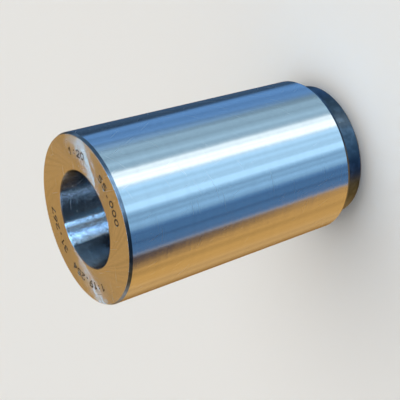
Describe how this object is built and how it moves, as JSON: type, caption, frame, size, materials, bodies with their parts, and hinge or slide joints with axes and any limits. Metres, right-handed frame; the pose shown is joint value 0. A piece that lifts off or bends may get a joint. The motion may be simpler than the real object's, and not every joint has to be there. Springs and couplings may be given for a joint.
{
  "type": "reducing sleeve",
  "caption": "Short one-piece steel reducing sleeve: a ground 1:20 tapered outside, a narrow collar behind its shoulder and a Morse taper bore right through.",
  "frame": {"origin": "centre of the collar's flat end, which the sleeve stands on", "axes": "+Z along the sleeve's axis, from the collar end up to the large front face"},
  "size_m": [0.055, 0.055, 0.0915],
  "materials": {
    "sleeve": "hardened steel, ground outside and in the bore, with a black oxide collar and chamfers"
  },
  "bodies": {
    "root": {"sleeve": "sleeve"}
  },
  "joints": []
}
